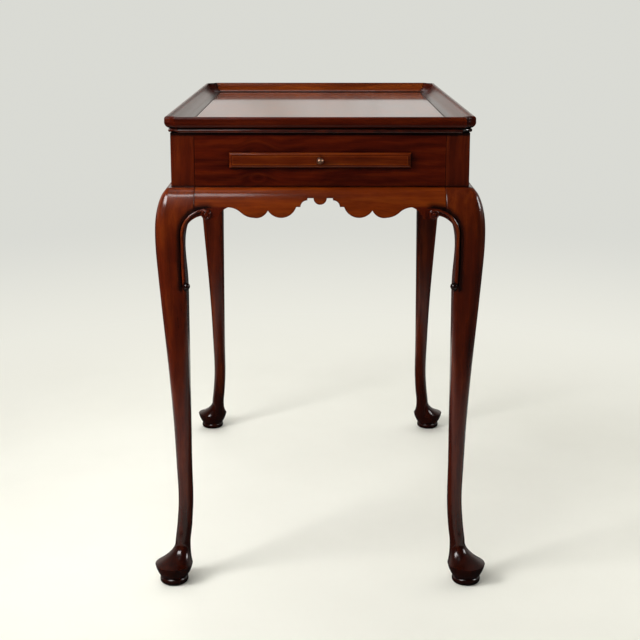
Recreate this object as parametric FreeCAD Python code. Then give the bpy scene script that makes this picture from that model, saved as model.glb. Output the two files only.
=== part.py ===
import FreeCAD, Part

import math
import os

# Tray top tea table on cabriole legs, with a candle slide at each end.
# Millimetres, +Z up, origin on the floor under the middle of the table.
# X runs across the table and Y along it, so the two slide ends face -Y (front) and +Y (back).

# Overall sizes
top_width = 438.6  # over the rim, along X
top_length = 700.0  # over the rim, along Y
table_height = 695.5  # floor to the top of the rim

# Tray rim moulding
rim_height = 16.3  # above the tray board
rim_width = 29.0  # outermost line to the joint with the board
rim_undercut = 7.0  # how far the outer ovolo draws in at its foot
rim_nose = 9.8  # widest line above the tray board
rim_crest = 5.3  # width of the narrow top
rim_crest_round = 3.6
rim_quirk = 0.9  # small steps at both ends of the inner cove
rim_seat = 0.8  # depth of the rebate that the rim lies in
rim_joint = 0.3  # open line between the rim and the field of the board
notch_radius = 15.0  # scooped corner of the tray

# Tray board
board_lip = 6.4  # thickness above the frame
board_let_in = 6.1  # thickness that drops inside the frame
board_inset = 4.8  # nosed edge behind the rim's outermost line
board_nose = 2.5  # rounding of the nosed edge
board_fit = 0.3  # gap between the let-in part and the frame

# Frame
rim_overhang = 8.6  # rim beyond the face of the frieze
frieze_height = 75.8
rail_thickness = 20.0
post_size = 33.5
post_round = 0.8
tenon_thickness = 8.0
tenon_setback = 6.0  # from the face of the rail
tenon_shoulder = 8.0  # above and below the tenon
tenon_wall = 2.0  # wood left between two tenons that meet in a post
tenon_end_gap = 0.5  # glue room at the bottom of a mortise

# Cabriole leg
knee_reach = 23.7  # beyond the post, at the widest
knee_drop = 65.5  # below the frieze
knee_inner = 18.6  # inner face under the knee, inside the post's outer face
knee_round = 16.0  # outer corner of the knee
knee_arris = 2.0  # the other corners of the knee
shank_taper = 0.8  # under 1, the knee thins soon; over 1, late
shank_inner = 20.5  # inner face at the ankle
shank_filling = 0.35  # share of the shank in which it comes to that
ankle_height = 112.0
ankle_width = 22.0
ankle_sweep = 1.3  # over 1, the leg leaves the ankle more slowly
instep_height = 58.0
instep_width = 22.6
instep_shift = 4.6  # centre of the instep inside the post's outer face
foot_shift = 8.1  # centre of the foot outside the post's outer face
foot_radius = 27.9
foot_rim_height = 29.0
foot_cup_swell = 1.2  # how far the underside of the foot swells
foot_neck_radius = 20.2
toe_sweep = 2.1  # over 1, the toe is hollow on top
heel_sweep = 3.0  # the same for the inner side of the foot
pad_radius = 21.0
pad_height = 11.0
pad_round = 4.8

# Shaped skirt under the frieze
skirt_inset = 10.0  # back of the skirt inside the frieze face
skirt_recess = 0.6  # face of the skirt behind the face of the knee
skirt_tenon_thickness = 6.0
skirt_tenon_setback = 2.0
skirt_tenon_height = 16.0
skirt_tenon_drop = 6.0
pendant_radius = 9.4
pendant_length = 8.8  # below the fillets beside it
crown_depth = 14.6  # frieze to those fillets
crown_fillet = 8.6
crown_step = 3.0
haunch_width = 9.7
haunch_height = 8.9
haunch_fillet = 5.9
lobe_pitch = 40.5
lobe_rise = 10.0  # cusp above the bottom of the lobes
skirt_depth = 41.5  # frieze to the bottom of the lobes
last_lobe = 20.2  # last cusp to the bottom of the last lobe
ogee_length = 35.6
end_arch_depth = 27.0

# Knee bracket
bracket_length = 47.9  # along the skirt, from the post
bracket_tip = 16.2
bracket_tip_depth = 43.4
bracket_tip_bow = 2.6
volute_radius = 7.2
volute_setting = 17.1  # centre of the volute from the post
volute_drop = 36.3
volute_relief = 2.4
volute_round = 1.6
eye_radius = 3.2
eye_relief = 1.4
eye_round = 1.2
arch_haunch = 8.5  # middle of the arch from the leg's inner face
arch_haunch_drop = 47.5
arch_spring = 20.0  # degrees below level where the arch leaves the volute
bracket_overrun = 2.0  # run into the leg before the leg is cut away

# Carved bead from the volute down the inner edge of the leg
bead_radius = 2.5
bead_sunk = 0.8  # axis of the bead behind the face it lies on
bead_start_drop = 30.9
bead_split = 8.5  # cut between bracket and leg, from the leg's inner face
bead_end_drop = 141.0
bead_ball_radius = 5.2
bead_hollow = 1.5  # radius of the hollow cut along the outer side of the bead
bead_hollow_lift = 0.8  # that hollow above the bead, where both leave the volute
bead_curl = 0.8  # centre of the ball past the leg's inner face

# Candle slides
slide_width = 244.0
slide_thickness = 11.0
slide_middle_gap = 99.0  # between the inner ends of the two slides
slide_travel = 190.0
slide_fit = 0.4  # running gap on every side
lip_side = 6.0  # lip beyond the slide at each side
lip_edge = 5.25  # lip beyond the slide above and below
lip_thickness = 7.5
lip_round = 3.4
lip_border = 4.6
lip_step = 0.9
lip_groove = 3.0  # how deep the slide board is let into the lip
lip_gap = 0.2

# Runners, stop pegs and knobs
runner_width = 24.0
runner_cheek = 9.5  # wood above and below the groove
runner_engagement = 8.0
peg_radius = 4.0
peg_drop = 9.0
peg_inset = 24.0  # from the face of the runner
knob_radius = 4.9
knob_projection = 12.0
knob_neck_radius = 2.3
knob_collar_radius = 3.6
knob_collar = 1.3
knob_stud_radius = 1.5
knob_stud_depth = 16.0
pin_fit = 0.1

# Corner blocks, cleats and screws
block_leg = 34.0  # along the side rail
block_clearance = 7.0  # from the runner to the end of a block
block_height = 42.0
block_rise = 6.0  # above the bottom of the frieze
cleat_width = 14.0
cleat_height = 18.0
cleat_end_gap = 20.0
screw_count = 3
screw_radius = 2.0
screw_head_radius = 4.0
screw_head_height = 2.4
screw_bite = 8.5
screw_inset = 40.0  # outer screws from the ends of a cleat

# Worked out from the sizes above
half_width = top_width / 2
half_length = top_length / 2
frieze_x = half_width - rim_overhang
frieze_y = half_length - rim_overhang
span_x = frieze_x - post_size
span_y = frieze_y - post_size
board_top = table_height - rim_height
frieze_top = board_top - board_lip
frieze_bottom = frieze_top - frieze_height
board_under = frieze_top - board_let_in
knee_height = frieze_bottom - knee_drop
ankle_outer = ankle_width - shank_inner
rim_seat_level = board_top - rim_seat
tenon_length = post_size - tenon_setback - tenon_thickness - tenon_wall
slide_level = frieze_bottom + frieze_height / 2
slide_half = slide_width / 2
runner_face = slide_half - runner_engagement
runner_back = runner_face + runner_width
bracket_top = frieze_bottom - end_arch_depth
tool_reach = 5.0  # how far a cutting tool runs past what it cuts
half_diagonal = math.sqrt(0.5)

corners = {"front_left": (-1, -1), "front_right": (1, -1), "back_left": (-1, 1), "back_right": (1, 1)}


def point(x, y, z):
    return FreeCAD.Vector(x, y, z)


def box(x_range, y_range, z_range):
    low = point(min(x_range), min(y_range), min(z_range))
    sizes = [max(span) - min(span) for span in (x_range, y_range, z_range)]
    return Part.makeBox(*sizes, low)


def line(start, end):
    return Part.LineSegment(start, end).toShape()


def arc(start, middle, end):
    return Part.Arc(start, middle, end).toShape()


def bowed(start, end, sagitta):
    # Arc in an XZ plane that bows to the left of the way from start to end.
    way = end - start
    side = point(-way.z, 0, way.x).normalize()
    return arc(start, (start + end) / 2 + side * sagitta, end)


def prism(edges, direction):
    return Part.Face(Part.Wire(edges)).extrude(direction)


def chain(*points):
    return [line(start, end) for start, end in zip(points, points[1:])]


def to_corner(shape, sign_x, sign_y):
    if sign_x < 0:
        shape = shape.mirror(point(0, 0, 0), point(1, 0, 0))
    if sign_y < 0:
        shape = shape.mirror(point(0, 0, 0), point(0, 1, 0))
    return shape


def across_diagonal(shape):
    return shape.mirror(point(0, 0, 0), point(1, -1, 0))


def turned(shape, degrees):
    result = shape.copy()
    result.rotate(point(0, 0, 0), point(0, 0, 1), degrees)
    return result


def moved(shape, x=0.0, y=0.0, z=0.0):
    result = shape.copy()
    result.translate(point(x, y, z))
    return result


def ease(share):
    return share * share * (3 - 2 * share)


def between(start, end, share):
    return start + (end - start) * share


# Tray rim: four straight runs and four scooped corners, mitred together


def rim_section(place):
    # Closed section of the rim, where place(u, z) puts a point u inside the outermost line.
    nose = board_top + rim_nose
    crest = table_height
    rounding = rim_crest_round * (1 - half_diagonal)
    cove_start = rim_crest + rim_quirk
    cove_reach = rim_width - cove_start
    cove_fall = rim_height - 2 * rim_quirk
    ovolo_fall = nose - rim_seat_level
    foot = place(rim_undercut, rim_seat_level)
    ovolo_middle = place(rim_undercut * (1 - half_diagonal), nose - ovolo_fall * half_diagonal)
    widest = place(0, nose)
    shoulder = place(0, crest - rim_crest_round)
    crest_outer = place(rim_crest_round, crest)
    crest_inner = place(rim_crest, crest)
    quirk = place(rim_crest, crest - rim_quirk)
    cove_top = place(cove_start, crest - rim_quirk)
    cove_middle = place(
        rim_width - cove_reach * half_diagonal, crest - rim_quirk - cove_fall * half_diagonal
    )
    cove_foot = place(rim_width, board_top + rim_quirk)
    heel = place(rim_width, rim_seat_level)
    edges = [arc(foot, ovolo_middle, widest), line(widest, shoulder)]
    edges.append(arc(shoulder, place(rounding, crest - rounding), crest_outer))
    edges += chain(crest_outer, crest_inner, quirk, cove_top)
    edges.append(arc(cove_top, cove_middle, cove_foot))
    edges += chain(cove_foot, heel, foot)
    return Part.Face(Part.Wire(edges))


def corner_side(run_along_y):
    # What lies on the corner's side of a mitre, at the corner towards +X and +Y. The mitre is where
    # the straight run and the scoop reach equally far in: a parabola with its focus at the corner.
    reach = rim_width + tool_reach
    far = math.sqrt(notch_radius**2 + 2 * notch_radius * reach)
    start = -notch_radius / 2

    def place(back, inwards):
        if run_along_y:
            return point(half_width - inwards, half_length - back, board_top - tool_reach)
        return point(half_width - back, half_length - inwards, board_top - tool_reach)

    curve = Part.BezierCurve()
    curve.setPoles([place(0, start), place(far / 2, start), place(far, reach)])
    edges = [curve.toShape()]
    edges += chain(place(far, reach), place(-tool_reach, reach), place(-tool_reach, start), place(0, start))
    return prism(edges, point(0, 0, rim_height + 2 * tool_reach))


def rim_run(run_along_y):
    mitre = corner_side(run_along_y)
    if run_along_y:
        section = rim_section(lambda u, z: point(half_width - u, -half_length, z))
        run = section.extrude(point(0, top_length, 0))
        return run.cut([mitre, to_corner(mitre, 1, -1)])
    section = rim_section(lambda u, z: point(-half_width, half_length - u, z))
    run = section.extrude(point(top_width, 0, 0))
    return run.cut([mitre, to_corner(mitre, -1, 1)])


def rim_corner():
    section = rim_section(lambda u, z: point(half_width - notch_radius - u, half_length, z))
    scoop = section.revolve(point(half_width, half_length, 0), point(0, 0, 1), 90)
    return scoop.common(corner_side(False)).common(corner_side(True))


def scooped_slab(inset, z_low, z_high):
    reach_x = half_width - inset
    reach_y = half_length - inset
    slab = box((-reach_x, reach_x), (-reach_y, reach_y), (z_low, z_high))
    scoop = Part.makeCylinder(
        notch_radius + inset,
        z_high - z_low + 2 * tool_reach,
        point(half_width, half_length, z_low - tool_reach),
    )
    return slab.cut([to_corner(scoop, *signs) for signs in corners.values()])


def tray_board():
    lip = scooped_slab(board_inset, frieze_top, rim_seat_level)
    flat_edges = [edge for edge in lip.Edges if edge.BoundBox.ZLength < 0.001]
    lip = lip.makeFillet(min(board_nose, 0.45 * (board_lip - rim_seat)), flat_edges)
    field = scooped_slab(rim_width + rim_joint, rim_seat_level, board_top)
    inner_x = frieze_x - rail_thickness - board_fit
    inner_y = frieze_y - rail_thickness - board_fit
    between_posts_x = span_x - board_fit
    between_posts_y = span_y - board_fit
    levels = (board_under, frieze_top)
    let_in = box((-inner_x, inner_x), (-between_posts_y, between_posts_y), levels)
    let_in = let_in.fuse(box((-between_posts_x, between_posts_x), (-inner_y, inner_y), levels))
    board = lip.fuse([field, let_in]).removeSplitter()
    hole_depth = screw_bite + pin_fit
    holes = []
    for x, y in screw_places():
        holes.append(Part.makeCylinder(screw_radius + pin_fit, hole_depth, point(x, y, board_under)))
    return board.cut(holes)


# Cabriole legs. A leg is made with the outer corner of its post at the origin, X and Y outwards.


def leg_section(z, inner, outer, outer_round, other_round):
    def rounded(centre_x, centre_y, radius, turn):
        ends = [math.radians(turn + step) for step in (0, 45, 90)]
        return [point(centre_x + radius * math.cos(a), centre_y + radius * math.sin(a), z) for a in ends]

    low = inner + other_round
    high = outer - other_round
    tip = outer - outer_round
    bends = [
        rounded(low, low, other_round, 180),
        rounded(high, low, other_round, 270),
        rounded(tip, tip, outer_round, 0),
        rounded(low, high, other_round, 90),
    ]
    edges = []
    for number, bend in enumerate(bends):
        edges.append(arc(*bend))
        edges.append(line(bend[2], bends[(number + 1) % 4][0]))
    return Part.Wire(edges)


def leg_sections():
    sections = []
    shoulder_steps = 9
    for step in range(shoulder_steps + 1):
        angle = math.pi / 2 * step / shoulder_steps
        drop = knee_drop * (1 - math.cos(angle))
        below_skirt = max(0.0, (drop - end_arch_depth) / (knee_drop - end_arch_depth))
        sections.append(
            leg_section(
                frieze_bottom - drop,
                between(-post_size, -knee_inner, ease(below_skirt)),
                knee_reach * math.sin(angle),
                between(post_round, knee_round, math.sin(angle)),
                between(post_round, knee_arris, math.sin(angle)),
            )
        )
    shank_steps = 7
    full_round = 0.49
    for step in range(1, shank_steps + 1):
        share = step / shank_steps
        height = between(knee_height, ankle_height, share)
        inner = shank_back(height)
        outer = shank_face(height)
        roundest = full_round * (outer - inner)
        sections.append(
            leg_section(
                height,
                inner,
                outer,
                between(min(knee_round, roundest), roundest, ease(share)),
                between(knee_arris, roundest, ease(share)),
            )
        )
    ankle_centre = ankle_width / 2 - shank_inner
    for share in (0.35, 0.7, 1.0):
        centre = between(ankle_centre, -instep_shift, share**ankle_sweep)
        width = between(ankle_width, instep_width, share)
        height = between(ankle_height, instep_height, share)
        rounding = full_round * width
        sections.append(leg_section(height, centre - width / 2, centre + width / 2, rounding, rounding))
    toe_steps = 8
    for step in range(1, toe_steps + 1):
        share = step / toe_steps
        inner = between(-instep_shift - instep_width / 2, foot_shift - foot_radius, share**heel_sweep)
        outer = between(instep_width / 2 - instep_shift, foot_shift + foot_radius, share**toe_sweep)
        height = between(instep_height, foot_rim_height, share)
        rounding = full_round * (outer - inner)
        sections.append(leg_section(height, inner, outer, rounding, rounding))
    return sections


def shank_share(height):
    return (knee_height - height) / (knee_height - ankle_height)


def shank_face(height):
    # Outer face of the leg between knee and ankle.
    return between(knee_reach, ankle_outer, ease(shank_share(height) ** shank_taper))


def shank_back(height):
    # Inner face of the leg between knee and ankle.
    return -between(knee_inner, shank_inner, ease(min(1.0, shank_share(height) / shank_filling)))


def pad_foot():
    def place(radius, z):
        return point(foot_shift + radius, foot_shift, z)

    rim = place(foot_radius, foot_rim_height)
    neck = place(foot_neck_radius, pad_height)
    cup_radius = (foot_radius + foot_neck_radius) / 2 + foot_cup_swell
    cup_middle = place(cup_radius, (foot_rim_height + pad_height) / 2)
    pad_top = place(pad_radius - pad_round, pad_height)
    pad_side_top = place(pad_radius, pad_height - pad_round)
    pad_side_low = place(pad_radius, pad_round)
    pad_foot_edge = place(pad_radius - pad_round, 0)
    rounding = pad_round * (1 - half_diagonal)
    edges = chain(place(0, foot_rim_height), rim)
    edges.append(arc(rim, cup_middle, neck))
    edges.append(line(neck, pad_top))
    edges.append(arc(pad_top, place(pad_radius - rounding, pad_height - rounding), pad_side_top))
    edges.append(line(pad_side_top, pad_side_low))
    edges.append(arc(pad_side_low, place(pad_radius - rounding, rounding), pad_foot_edge))
    edges += chain(pad_foot_edge, place(0, 0), place(0, foot_rim_height))
    profile = Part.Face(Part.Wire(edges))
    return profile.revolve(point(foot_shift, foot_shift, 0), point(0, 0, 1), 360)


def knee_face(drop):
    # How far the shoulder of knee and skirt stands out from the frieze, a given drop below it.
    share = 1 - drop / knee_drop
    return knee_reach * math.sqrt(1 - share**2)


def tangent_arc(start, tangent, end):
    # Arc that leaves start along a unit tangent and arrives at end.
    way = end - start
    across = (way - tangent * way.dot(tangent)).normalize()
    radius = way.dot(way) / (2 * way.dot(across))
    centre = start + across * radius
    outwards = ((start + end) / 2 - centre).normalize()
    return arc(start, centre + outwards * radius, end)


def carved_bar(radius, aside, lift):
    # From the volute over the arch to the inner edge of the leg, and down it to the height of the ball.
    # Aside moves the line into the leg, and lift raises its start.
    def on_knee(x, drop):
        return point(x, knee_face(drop) - bead_sunk, frieze_bottom - drop)

    reach = bead_radius + aside
    start = on_knee(bead_radius - post_size - volute_setting, bead_start_drop - lift)
    edge = on_knee(reach - knee_inner, knee_drop)
    end_height = frieze_bottom - bead_end_drop
    end = point(shank_back(end_height) + reach, shank_face(end_height) - bead_sunk, end_height)
    bend = tangent_arc(edge, point(0, 0, 1), start)
    tail = tangent_arc(edge, point(0, 0, -1), end)
    ring = Part.Wire(Part.Circle(start, bend.tangentAt(bend.LastParameter), radius).toShape())
    return Part.Wire(Part.__sortEdges__([bend, tail])).makePipeShell([ring], True, False)


def carved_bead():
    height = frieze_bottom - bead_end_drop
    centre = point(shank_back(height) - bead_curl, shank_face(height) - 2 * bead_sunk, height)
    return carved_bar(bead_radius, 0.0, 0.0).fuse(Part.makeSphere(bead_ball_radius, centre))


def bead_ground():
    # What is cut away along the outer side of the bead, so that it stands clear of the leg.
    return carved_bar(bead_hollow, bead_radius, bead_hollow_lift)


def beside_leg():
    # The bracket's side of the upright cut where the bead passes from bracket to leg.
    far = post_size + bracket_length
    return box((-far, -knee_inner - bead_split), (-skirt_inset, 2 * knee_reach), (0, frieze_bottom))


def leg_blank():
    sections = leg_sections()
    post = Part.Face(sections[0]).extrude(point(0, 0, frieze_height))
    leg = Part.makeLoft(sections, True, False)
    return leg.fuse([post, pad_foot()])


def mortises():
    face = -post_size - tool_reach
    end = tenon_length - post_size + tenon_end_gap
    frieze_mortise = box(
        (face, end),
        (-tenon_setback - tenon_thickness, -tenon_setback),
        (frieze_bottom + tenon_shoulder, frieze_top - tenon_shoulder),
    )
    skirt_mortise = box(
        (face, end),
        (-skirt_tenon_setback - skirt_tenon_thickness, -skirt_tenon_setback),
        (frieze_bottom - skirt_tenon_drop - skirt_tenon_height, frieze_bottom - skirt_tenon_drop),
    )
    cuts = [frieze_mortise, skirt_mortise]
    return cuts + [across_diagonal(cut) for cut in cuts]


def cabriole_leg():
    ground = bead_ground()
    bead = carved_bead().cut(beside_leg())
    leg = leg_blank().cut([ground, across_diagonal(ground)])
    return leg.fuse([bead, across_diagonal(bead)]).cut(mortises())


# Rails and skirts. Each is made with the middle of its top face line at the origin's X and Y,
# its face towards +Y.


def frieze_rail(half_span):
    rail = box((-half_span, half_span), (-rail_thickness, 0), (frieze_bottom, frieze_top))
    tenon = box(
        (-half_span - tenon_length, half_span + tenon_length),
        (-tenon_setback - tenon_thickness, -tenon_setback),
        (frieze_bottom + tenon_shoulder, frieze_top - tenon_shoulder),
    )
    return rail.fuse(tenon)


def end_rail():
    half_slot = slide_half + slide_fit
    half_height = slide_thickness / 2 + slide_fit
    slot = box(
        (-half_slot, half_slot),
        (-rail_thickness - tool_reach, tool_reach),
        (slide_level - half_height, slide_level + half_height),
    )
    return frieze_rail(span_x).cut(slot)


def shoulder_section(x):
    # Cross section shared by skirt and brackets: a quarter ellipse in front, straight behind.
    front_top = point(x, 0, frieze_bottom)
    front_low = point(x, knee_reach - skirt_recess, knee_height)
    ellipse = Part.Ellipse(front_top, front_low, point(x, 0, knee_height))
    ends = [ellipse.parameter(front_top), ellipse.parameter(front_low)]
    curve = Part.ArcOfEllipse(ellipse, min(ends), max(ends)).toShape()
    back_low = point(x, -skirt_inset, knee_height)
    back_top = point(x, -skirt_inset, frieze_bottom)
    edges = [curve] + chain(front_low, back_low, back_top, front_top)
    return Part.Face(Part.Wire(Part.__sortEdges__(edges)))


def scallop_edges(half_span, y):
    # Lower edge of half a skirt, from the middle to the end: pendant, fillets, lobes, ogee, end arch.
    def place(x, drop):
        return point(x, y, frieze_bottom - drop)

    pendant_bottom = place(0, crown_depth + pendant_length)
    pendant_end = place(pendant_radius, crown_depth)
    pendant_middle = place(pendant_radius * half_diagonal, crown_depth + pendant_length * half_diagonal)
    edges = [arc(pendant_bottom, pendant_middle, pendant_end)]
    x = pendant_radius + crown_fillet
    crown = place(x, crown_depth)
    step = place(x, crown_depth + crown_step)
    edges += chain(pendant_end, crown, step)
    haunch_x = x + haunch_width
    haunch_drop = crown_depth + crown_step + haunch_height
    haunch = place(haunch_x, haunch_drop)
    haunch_middle = place(
        x + haunch_width * half_diagonal, haunch_drop - haunch_height * half_diagonal
    )
    edges.append(arc(step, haunch_middle, haunch))
    x = haunch_x + haunch_fillet
    previous = place(x, haunch_drop)
    edges.append(line(haunch, previous))
    arch_x = half_span - bracket_length
    lobe_x = arch_x - ogee_length
    lobes = max(0, round((lobe_x - last_lobe - x) / lobe_pitch))
    pitch = (lobe_x - last_lobe - x) / lobes if lobes else 0.0
    cusp_drop = skirt_depth - lobe_rise
    for number in range(lobes):
        bottom = place(x + pitch * (number + 0.5), skirt_depth)
        cusp = place(x + pitch * (number + 1), cusp_drop)
        edges.append(arc(previous, bottom, cusp))
        previous = cusp
    lobe_bottom = place(lobe_x, skirt_depth)
    quarter = previous + point(
        (lobe_bottom.x - previous.x) * (1 - half_diagonal), 0, (lobe_bottom.z - previous.z) * half_diagonal
    )
    edges.append(arc(previous, quarter, lobe_bottom))
    ogee_rise = skirt_depth - end_arch_depth
    ogee_middle = place(lobe_x + ogee_length / 2, skirt_depth - ogee_rise / 2)
    arch = place(arch_x, end_arch_depth)
    edges.append(arc(lobe_bottom, place(lobe_x + ogee_length / 4, skirt_depth - ogee_rise / 8), ogee_middle))
    edges.append(arc(ogee_middle, place(arch_x - ogee_length / 4, end_arch_depth + ogee_rise / 8), arch))
    edges.append(line(arch, place(half_span, end_arch_depth)))
    return edges


def skirt(half_span):
    depth = knee_reach + skirt_inset + 2 * tool_reach
    back = -skirt_inset - tool_reach
    edges = scallop_edges(half_span, back)
    edges += chain(
        point(half_span, back, bracket_top),
        point(half_span, back, frieze_bottom),
        point(0, back, frieze_bottom),
        point(0, back, frieze_bottom - crown_depth - pendant_length),
    )
    half = prism(edges, point(0, depth, 0))
    shoulder = shoulder_section(0).extrude(point(half_span, 0, 0))
    half = half.common(shoulder)
    tenon = box(
        (half_span, half_span + tenon_length),
        (-skirt_tenon_setback - skirt_tenon_thickness, -skirt_tenon_setback),
        (frieze_bottom - skirt_tenon_drop - skirt_tenon_height, frieze_bottom - skirt_tenon_drop),
    )
    half = half.fuse(tenon)
    return half.fuse(half.mirror(point(0, 0, 0), point(1, 0, 0))).removeSplitter()


# Knee brackets, made beside the leg in the leg's own place


def knee_bracket(leg):
    back = -skirt_inset - tool_reach

    def place(x, drop):
        return point(x, back, frieze_bottom - drop)

    volute_x = -post_size - volute_setting
    top_inner = place(-post_size - bracket_length, end_arch_depth)
    tip = place(-post_size - bracket_length + bracket_tip, bracket_tip_depth)

    def on_volute(degrees):
        angle = math.radians(degrees)
        across = volute_x + volute_radius * math.cos(angle)
        return place(across, volute_drop + volute_radius * math.sin(angle))

    heel = on_volute(90)
    spring = on_volute(arch_spring)
    arch_middle = place(-knee_inner - arch_haunch, arch_haunch_drop)
    arch_foot = place(-knee_inner, knee_drop)
    edges = [bowed(top_inner, tip, bracket_tip_bow), line(tip, heel)]
    edges.append(arc(heel, on_volute(between(90, arch_spring, 0.5)), spring))
    edges.append(arc(spring, arch_middle, arch_foot))
    edges += chain(
        arch_foot,
        place(bracket_overrun - knee_inner, knee_drop),
        place(bracket_overrun - post_size, end_arch_depth),
        top_inner,
    )
    plate = prism(edges, point(0, knee_reach + skirt_inset + 2 * tool_reach, 0))
    shoulder = shoulder_section(-post_size - bracket_length).extrude(point(bracket_length + post_size, 0, 0))
    plate = plate.common(shoulder).cut(bead_ground())
    face = knee_face(volute_drop)
    boss = raised_disc(volute_x, face, volute_radius, volute_relief, volute_round)
    eye = raised_disc(volute_x, face + volute_relief, eye_radius, eye_relief, eye_round)
    carved = plate.fuse([boss, eye, carved_bead().common(beside_leg())])
    return max(carved.cut(leg).Solids, key=lambda solid: solid.Volume)


def raised_disc(x, face, radius, relief, rounding):
    root = volute_relief
    disc = Part.makeCylinder(
        radius, root + relief, point(x, face - root, frieze_bottom - volute_drop), point(0, 1, 0)
    )
    front = [edge for edge in disc.Edges if edge.BoundBox.YMin > face + relief / 2]
    return disc.makeFillet(min(rounding, 0.9 * relief), front)


# Candle slide, made for the back end: it pulls out towards +Y


def slide_board():
    back = slide_middle_gap / 2
    front = frieze_y + lip_gap + lip_groove
    half_height = slide_thickness / 2
    levels = (slide_level - half_height, slide_level + half_height)
    board = box((-slide_half, slide_half), (back, front), levels)
    hole_depth = slide_thickness + 2 * tool_reach
    holes = [Part.makeCylinder(peg_radius, hole_depth, foot) for foot in peg_places(tool_reach)]
    stud = Part.makeCylinder(
        knob_stud_radius + pin_fit,
        knob_stud_depth + tool_reach,
        point(0, front - knob_stud_depth, slide_level),
        point(0, 1, 0),
    )
    return board.cut(holes + [stud])


def peg_places(drop):
    # Foot of each stop peg, a drop below the slide board, where it meets the end rail at full travel.
    y = frieze_y - rail_thickness - slide_travel - peg_radius - slide_fit
    x = runner_face - peg_inset
    z = slide_level - slide_thickness / 2 - drop
    return [point(-x, y, z), point(x, y, z)]


def stop_pegs():
    length = slide_thickness + peg_drop
    return Part.makeCompound([Part.makeCylinder(peg_radius, length, foot) for foot in peg_places(peg_drop)])


def slide_lip():
    half_x = slide_half + lip_side
    half_z = slide_thickness / 2 + lip_edge
    back = frieze_y + lip_gap
    field = back + lip_thickness
    lip = box((-half_x, half_x), (back, field - lip_step), (slide_level - half_z, slide_level + half_z))
    front = [edge for edge in lip.Edges if edge.BoundBox.YMin > field - lip_step - 0.001]
    lip = lip.makeFillet(min(lip_round, 0.6 * lip_thickness), front)
    raised = box(
        (lip_border - half_x, half_x - lip_border),
        (back + lip_groove, field),
        (slide_level - half_z + lip_border, slide_level + half_z - lip_border),
    )
    groove = box(
        (-slide_half, slide_half),
        (back - tool_reach, back + lip_groove),
        (slide_level - slide_thickness / 2, slide_level + slide_thickness / 2),
    )
    bore = Part.makeCylinder(
        knob_stud_radius + pin_fit,
        lip_thickness + 2 * tool_reach,
        point(0, back - tool_reach, slide_level),
        point(0, 1, 0),
    )
    return lip.fuse(raised).cut([groove, bore])


def slide_knob():
    face = frieze_y + lip_gap + lip_thickness
    stud_end = frieze_y + lip_gap + lip_groove - knob_stud_depth
    tip = face + knob_projection
    ball_centre = tip - knob_radius

    def place(radius, y):
        return point(radius, y, slide_level)

    neck_meets = ball_centre - math.sqrt(knob_radius**2 - knob_neck_radius**2)
    edges = chain(
        place(0, stud_end),
        place(knob_stud_radius, stud_end),
        place(knob_stud_radius, face),
        place(knob_collar_radius, face),
        place(knob_collar_radius, face + knob_collar),
        place(knob_neck_radius, face + knob_collar),
        place(knob_neck_radius, neck_meets),
    )
    edges.append(arc(place(knob_neck_radius, neck_meets), place(knob_radius, ball_centre), place(0, tip)))
    edges.append(line(place(0, tip), place(0, stud_end)))
    return Part.Face(Part.Wire(edges)).revolve(point(0, 0, slide_level), point(0, 1, 0), 360)


# Inner pieces


def slide_runner():
    # Right-hand runner: a rail from end to end with a groove for the edge of both slides.
    end = frieze_y - rail_thickness
    half_groove = slide_thickness / 2 + slide_fit
    half_height = half_groove + runner_cheek
    levels = (slide_level - half_height, slide_level + half_height)
    rail = box((runner_face, runner_back), (-end, end), levels)
    groove = box(
        (runner_face - tool_reach, slide_half + slide_fit),
        (-end - tool_reach, end + tool_reach),
        (slide_level - half_groove, slide_level + half_groove),
    )
    return rail.cut(groove)


def corner_block():
    # Fits round the inner corner of a post, with one leg along each rail.
    rail_x = frieze_x - rail_thickness
    rail_y = frieze_y - rail_thickness
    block_end = runner_back + block_clearance
    z = frieze_bottom + block_rise
    outline = chain(
        point(block_end, rail_y, z),
        point(span_x, rail_y, z),
        point(span_x, span_y, z),
        point(rail_x, span_y, z),
        point(rail_x, span_y - block_leg, z),
        point(block_end, rail_y, z),
    )
    return prism(outline, point(0, 0, block_height))


def screw_places():
    x = frieze_x - rail_thickness - cleat_width / 2
    reach = cleat_half() - screw_inset
    rows = [between(-reach, reach, number / (screw_count - 1)) for number in range(screw_count)]
    return [(side * x, y) for side in (-1, 1) for y in rows]


def cleat_half():
    return span_y - block_leg - cleat_end_gap


def top_cleat(side):
    face = frieze_x - rail_thickness
    half = cleat_half()
    levels = (board_under - cleat_height, board_under)
    cleat = box((side * (face - cleat_width), side * face), (-half, half), levels)
    holes = []
    for x, y in screw_places():
        if x * side > 0:
            foot = point(x, y, levels[0] - tool_reach)
            holes.append(Part.makeCylinder(screw_radius + pin_fit, cleat_height + 2 * tool_reach, foot))
    return cleat.cut(holes)


def top_screws():
    seat = board_under - cleat_height
    screws = []
    for x, y in screw_places():
        shank = Part.makeCylinder(screw_radius, cleat_height + screw_bite, point(x, y, seat))
        head = Part.makeCylinder(screw_head_radius, screw_head_height, point(x, y, seat - screw_head_height))
        screws.append(shank.fuse(head))
    return Part.makeCompound(screws)


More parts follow.
